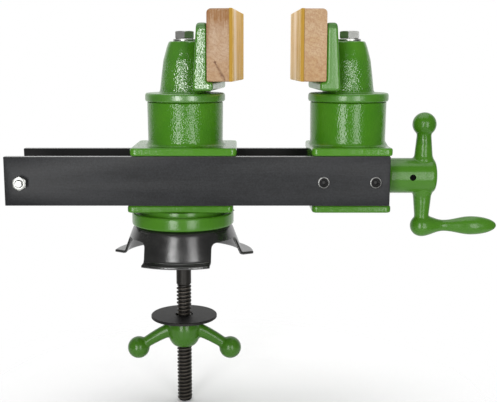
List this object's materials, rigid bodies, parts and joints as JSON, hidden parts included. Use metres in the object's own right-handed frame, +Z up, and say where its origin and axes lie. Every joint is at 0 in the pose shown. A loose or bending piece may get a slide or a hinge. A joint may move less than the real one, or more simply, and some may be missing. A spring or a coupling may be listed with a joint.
{
  "type": "multi-purpose vise",
  "caption": "Bench vise with swivelling wooden jaws on two turrets, two flat rails, a lead screw with crank handle, and a swivel stand clamped through the bench by a spindle and wing nut.",
  "frame": {"origin": "on the clamp spindle's axis at the bench top, level with the soles of the stand's feet", "axes": "+X along the rails towards the crank, +Z up away from the bench, -Y towards the user"},
  "size_m": [0.5132, 0.1407, 0.4206],
  "materials": {
    "green_enamel": "glossy hammered enamel on cast iron",
    "rail_black": "satin black paint",
    "stand_black": "gloss black paint on pressed steel",
    "spindle_steel": "oiled dark steel",
    "bright_steel": "bright zinc plate",
    "black_steel": "black oxide",
    "beech": "plain sanded beech",
    "facing_wood": "pale laminated facing with golden edges",
    "brass": "machined brass"
  },
  "bodies": {
    "stand": {"bench_stand": "stand_black"},
    "vise": {"swivel_base": "green_enamel", "left_lower_plate": "green_enamel", "left_head": "green_enamel", "left_plate_screw_1": "black_steel", "left_plate_screw_2": "black_steel", "left_plate_screw_3": "black_steel", "left_plate_screw_4": "black_steel", "lead_nut": "brass", "nut_screw_1": "black_steel", "nut_screw_2": "black_steel", "clamp_spindle": "spindle_steel", "left_turret_bolt": "bright_steel", "left_turret_washer": "bright_steel"},
    "left_jaw": {"left_turret": "green_enamel", "left_jaw_block": "beech", "left_jaw_facing": "facing_wood", "left_jaw_screw_1": "bright_steel", "left_jaw_screw_2": "bright_steel", "left_jaw_screw_3": "bright_steel", "left_jaw_screw_4": "bright_steel"},
    "carriage": {"front_rail": "rail_black", "rear_rail": "rail_black", "right_head": "green_enamel", "right_lower_plate": "green_enamel", "right_plate_screw_1": "black_steel", "right_plate_screw_2": "black_steel", "right_plate_screw_3": "black_steel", "right_plate_screw_4": "black_steel", "front_rail_screw_1": "black_steel", "front_rail_screw_2": "black_steel", "rear_rail_screw_1": "black_steel", "rear_rail_screw_2": "black_steel", "tie_bolt": "bright_steel", "tie_nut": "bright_steel", "tie_spacer": "bright_steel", "bearing_bush": "brass", "right_turret_bolt": "bright_steel", "right_turret_washer": "bright_steel"},
    "right_jaw": {"right_turret": "green_enamel", "right_jaw_block": "beech", "right_jaw_facing": "facing_wood", "right_jaw_screw_1": "bright_steel", "right_jaw_screw_2": "bright_steel", "right_jaw_screw_3": "bright_steel", "right_jaw_screw_4": "bright_steel"},
    "screw": {"lead_screw": "spindle_steel", "crank": "green_enamel", "crank_pin": "black_steel", "thrust_collar": "bright_steel", "collar_grub_screw": "black_steel"},
    "clamp": {"clamp_washer": "spindle_steel"},
    "wing": {"wing_nut": "green_enamel"}
  },
  "joints": [
    {"name": "swivel", "type": "hinge", "parent": "stand", "child": "vise", "pos_m": [0, 0, 0.034], "axis": [0, 0, 1], "continuous": true},
    {"name": "carriage_slide", "type": "slide", "parent": "vise", "child": "carriage", "axis": [1, 0, 0], "range_m": [-0.05, 0.1]},
    {"name": "crank_turn", "type": "hinge", "parent": "carriage", "child": "screw", "pos_m": [0.2435, 0, 0.085], "axis": [1, 0, 0], "range_deg": [-4510, 9010]},
    {"name": "left_turret_turn", "type": "hinge", "parent": "vise", "child": "left_jaw", "pos_m": [0.0035, 0, 0.1633], "axis": [0, 0, 1], "continuous": true},
    {"name": "right_turret_turn", "type": "hinge", "parent": "carriage", "child": "right_jaw", "pos_m": [0.1742, 0, 0.1633], "axis": [0, 0, 1], "continuous": true},
    {"name": "clamp_slide", "type": "slide", "parent": "vise", "child": "clamp", "axis": [0, 0, 1], "range_m": [-0.06, 0.036]},
    {"name": "wing_nut_turn", "type": "hinge", "parent": "clamp", "child": "wing", "pos_m": [0, 0, -0.0708], "axis": [0, 0, 1], "range_deg": [-5410, 3250]}
  ],
  "couplings": [
    {"joint": "crank_turn", "follows": "carriage_slide", "rad_per_m": 1570.8},
    {"joint": "wing_nut_turn", "follows": "clamp_slide", "rad_per_m": 1570.8}
  ]
}
